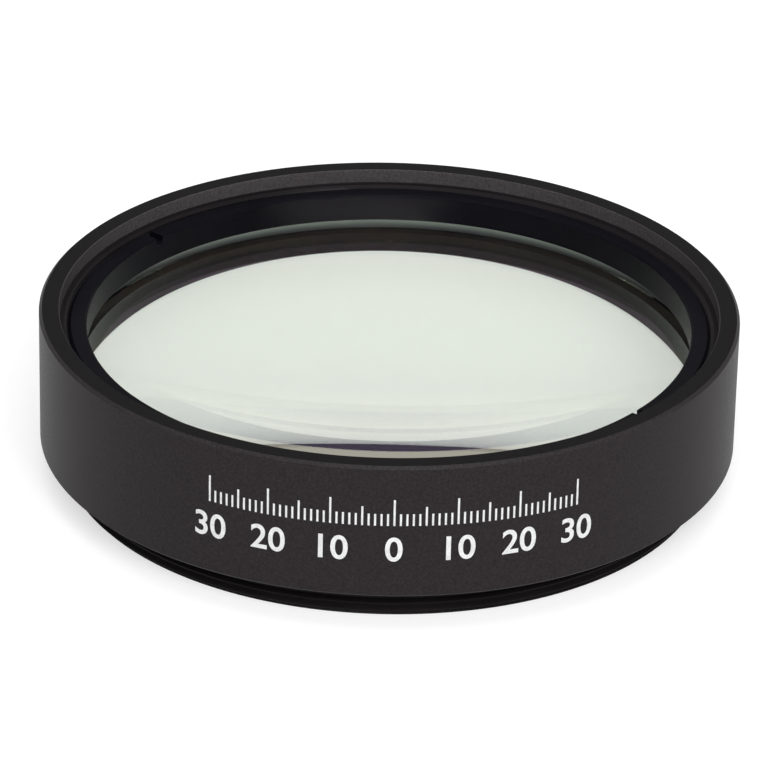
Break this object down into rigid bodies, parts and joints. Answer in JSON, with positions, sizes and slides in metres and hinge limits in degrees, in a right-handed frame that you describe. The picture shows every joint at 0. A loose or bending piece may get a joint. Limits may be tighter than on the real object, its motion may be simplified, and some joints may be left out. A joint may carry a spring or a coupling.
{
  "type": "mounted achromatic doublet lens",
  "caption": "Cemented achromatic doublet lens clamped in a black threaded cell by a slotted retaining ring, for near-infrared light.",
  "frame": {"origin": "centre of the cell's bottom edge, on the optical axis", "axes": "+Z along the optical axis, from the threaded spigot to the slotted ring and the strongly curved face; the spanner slots lie 142.2 degrees round from +X"},
  "size_m": [0.0558, 0.0558, 0.014],
  "materials": {
    "cell_anodised": "matte black anodised, fine blasted grain",
    "ring_anodised": "turned, black anodised",
    "crown_glass": "polished, near-infrared anti-reflection coating on the outer face",
    "flint_glass": "polished, near-infrared anti-reflection coating on the outer face, ground rim"
  },
  "bodies": {
    "root": {"lens_mount": "cell_anodised", "retaining_ring": "ring_anodised", "crown_element": "crown_glass", "flint_element": "flint_glass"}
  },
  "joints": []
}
